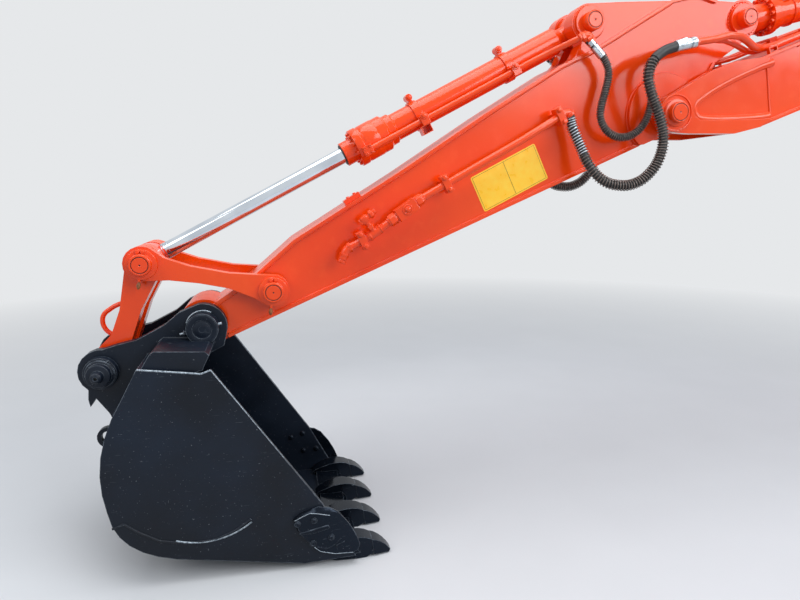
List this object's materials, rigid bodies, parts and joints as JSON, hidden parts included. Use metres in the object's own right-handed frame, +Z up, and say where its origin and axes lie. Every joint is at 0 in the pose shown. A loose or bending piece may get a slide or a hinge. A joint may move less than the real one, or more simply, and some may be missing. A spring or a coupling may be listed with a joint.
{
  "type": "excavator boom, arm and bucket",
  "caption": "Front attachment of a wheeled excavator: bent boom, arm, toothed bucket, bucket linkage, cylinders, pipes and hoses, hung from its boom-foot pin.",
  "frame": {"origin": "centre of the boom-foot pin's bore", "axes": "+X towards the machine, +Y to the machine's right side along the boom-foot pin, +Z up; the arm reaches out along -X"},
  "size_m": [7.5213, 0.994, 3.051],
  "materials": {
    "orange_paint": "gloss",
    "black_paint": "satin",
    "chrome_rod": "polished",
    "plated_steel": "satin",
    "hose_rubber": "matte"
  },
  "bodies": {
    "boom": {"boom": "orange_paint", "boom_nose_pin": "orange_paint", "boom_pipes": "orange_paint", "boom_pipe_clamps": "orange_paint", "boom_pipe_bracket": "orange_paint", "boom_hose_fittings": "plated_steel", "arm_cylinder_pin": "orange_paint", "wide_hose_left": "hose_rubber", "wide_hose_right": "hose_rubber", "thin_hose_left": "hose_rubber", "thin_hose_right": "hose_rubber"},
    "arm": {"arm": "orange_paint", "arm_pins": "orange_paint", "arm_pipes": "orange_paint", "arm_pipe_clamps": "orange_paint", "arm_pipe_fittings": "plated_steel", "arm_stop_valves": "orange_paint", "arm_hose_fittings": "plated_steel", "arm_grease_block": "orange_paint"},
    "arm_cylinder_barrel": {"arm_cylinder_barrel": "orange_paint", "arm_cylinder_pipe": "orange_paint"},
    "arm_cylinder_rod": {"arm_cylinder_rod": "chrome_rod"},
    "bucket_cylinder_barrel": {"bucket_cylinder_barrel": "orange_paint", "bucket_cylinder_clamps": "orange_paint", "bucket_cylinder_pipe": "orange_paint"},
    "bucket_cylinder_rod": {"bucket_cylinder_rod": "chrome_rod"},
    "idler_links": {"idler_links": "orange_paint", "idler_pins": "orange_paint"},
    "bucket_link": {"bucket_link": "orange_paint", "bucket_link_eye": "orange_paint"},
    "bucket": {"bucket_shell": "black_paint", "bucket_sides": "black_paint", "bucket_lip": "black_paint", "bucket_ears": "black_paint", "bucket_adapters": "black_paint", "bucket_teeth": "black_paint", "side_cutters": "black_paint", "bucket_hook": "black_paint", "bucket_pin": "orange_paint", "bucket_link_pins": "orange_paint"}
  },
  "joints": [
    {"name": "arm_swing", "type": "hinge", "parent": "boom", "child": "arm", "pos_m": [-4.595, 0, 0.22], "axis": [0, -1, 0], "range_deg": [0, 118], "deforming": ["wide_hose_left", "wide_hose_right", "thin_hose_left", "thin_hose_right"]},
    {"name": "bucket_swing", "type": "hinge", "parent": "arm", "child": "bucket", "pos_m": [-6.87446, 0, -0.75698], "axis": [0, -1, 0], "range_deg": [-120, 20]},
    {"name": "idler_swing", "type": "hinge", "parent": "arm", "child": "idler_links", "pos_m": [-6.56195, 0, -0.6078], "axis": [0, -1, 0], "range_deg": [-88.9, 14.9]},
    {"name": "link_swing", "type": "hinge", "parent": "idler_links", "child": "bucket_link", "pos_m": [-7.11446, 0, -0.47098], "axis": [0, -1, 0], "range_deg": [-7.1, 42.1]},
    {"name": "bucket_cylinder_swing", "type": "hinge", "parent": "arm", "child": "bucket_cylinder_barrel", "pos_m": [-5.02911, 0, 0.63886], "axis": [0, -1, 0], "range_deg": [-5.38, 0.98]},
    {"name": "bucket_cylinder_stroke", "type": "slide", "parent": "bucket_cylinder_barrel", "child": "bucket_cylinder_rod", "axis": [-0.8828, 0, -0.4698], "range_m": [-0.7801, 0.1309]},
    {"name": "arm_cylinder_swing", "type": "hinge", "parent": "boom", "child": "arm_cylinder_barrel", "pos_m": [-2.57, 0, 1.13], "axis": [0, -1, 0], "range_deg": [-0.1, 1.31]},
    {"name": "arm_cylinder_stroke", "type": "slide", "parent": "arm_cylinder_barrel", "child": "arm_cylinder_rod", "axis": [-0.9661, 0, -0.2583], "range_m": [-0.001, 1.0896]}
  ],
  "couplings": [
    {"joint": "idler_swing", "follows": "bucket_swing", "ratio": 0.74},
    {"joint": "link_swing", "follows": "bucket_swing", "ratio": -0.35},
    {"joint": "bucket_cylinder_swing", "follows": "bucket_swing", "ratio": 0.044},
    {"joint": "bucket_cylinder_stroke", "follows": "bucket_swing", "m_per_rad": 0.372},
    {"joint": "arm_cylinder_swing", "follows": "arm_swing", "ratio": 0.01029},
    {"joint": "arm_cylinder_stroke", "follows": "arm_swing", "m_per_rad": 0.52857}
  ]
}
